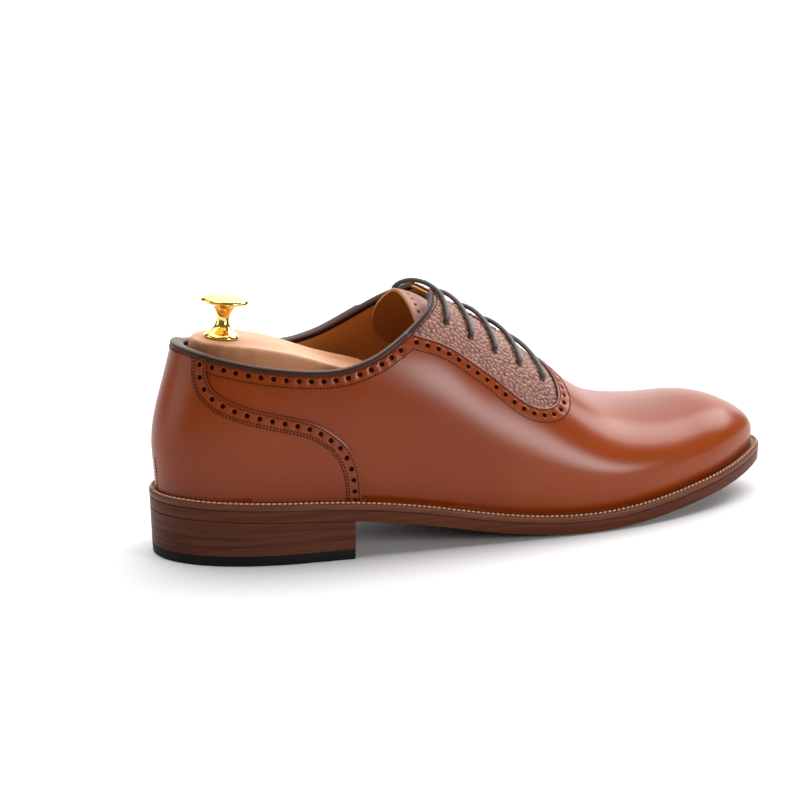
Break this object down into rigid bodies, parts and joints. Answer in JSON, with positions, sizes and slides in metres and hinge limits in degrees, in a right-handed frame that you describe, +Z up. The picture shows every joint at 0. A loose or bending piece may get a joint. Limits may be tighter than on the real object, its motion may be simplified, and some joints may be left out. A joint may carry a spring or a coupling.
{
  "type": "oxford shoe",
  "caption": "Welted leather dress shoe with a perforated topline, laced facings and a stacked heel, on a split-toe wooden shoe tree with a turned brass knob",
  "frame": {"origin": "middle of the footprint, on the floor the heel and the forepart stand on", "axes": "+X to the toe, +Y to the inner side of the foot, +Z up"},
  "size_m": [0.3034, 0.1006, 0.1162],
  "materials": {
    "upper_leather": "burnished aniline calf, semi-gloss",
    "facing_leather": "pebbled calf, soft sheen",
    "tongue_leather": "calf, soft sheen",
    "lining_leather": "unpolished lining leather",
    "binding_leather": "folded dark piping",
    "stiffener_leather": "undyed",
    "sole_leather": "waxed edge",
    "heel_leather": "stacked, waxed",
    "rubber": "matt",
    "cork": "ground cork",
    "brass": "polished and lacquered",
    "steel": "plain",
    "tree_wood": "sanded cedar",
    "lace": "waxed round cotton"
  },
  "bodies": {
    "shoe": {"vamp_and_quarters": "upper_leather", "heel_foxing": "upper_leather", "facing_lateral": "facing_leather", "facing_medial": "facing_leather", "tongue": "tongue_leather", "quarter_lining": "lining_leather", "vamp_lining": "lining_leather", "sock_lining": "lining_leather", "topline_binding": "binding_leather", "heel_stiffener": "stiffener_leather", "toe_puff": "stiffener_leather", "side_stiffener_lateral": "stiffener_leather", "side_stiffener_medial": "stiffener_leather", "insole": "stiffener_leather", "outsole": "sole_leather", "welt": "sole_leather", "heel_lift_1": "heel_leather", "heel_lift_2": "heel_leather", "heel_lift_3": "heel_leather", "heel_lift_4": "heel_leather", "rubber_top_piece": "rubber", "cork_filler": "cork", "heel_nail_1": "brass", "heel_nail_2": "brass", "heel_nail_3": "brass", "heel_nail_4": "brass", "heel_nail_5": "brass", "shank": "steel", "tree_rod": "steel", "tree_pin_1": "steel", "tree_pin_2": "steel", "eyelet_lateral_1": "steel", "eyelet_lateral_2": "steel", "eyelet_lateral_3": "steel", "eyelet_lateral_4": "steel", "eyelet_lateral_5": "steel", "eyelet_medial_1": "steel", "eyelet_medial_2": "steel", "eyelet_medial_3": "steel", "eyelet_medial_4": "steel", "eyelet_medial_5": "steel", "tree_fore_lateral": "tree_wood", "lace": "lace"},
    "tree_heel": {"tree_heel_block": "tree_wood", "tree_knob": "brass", "tree_tube": "brass", "tree_spring": "steel"},
    "tree_medial": {"tree_fore_medial": "tree_wood"}
  },
  "joints": [
    {"name": "tree_heel_slide", "type": "slide", "parent": "shoe", "child": "tree_heel", "axis": [1, 0, 0], "range_m": [0, 0.008], "stiffness_N_per_m": 800, "springref_m": -0.01},
    {"name": "tree_medial_slide", "type": "slide", "parent": "shoe", "child": "tree_medial", "axis": [0, -1, 0], "range_m": [0, 0.003], "stiffness_N_per_m": 800, "springref_m": -0.005}
  ]
}
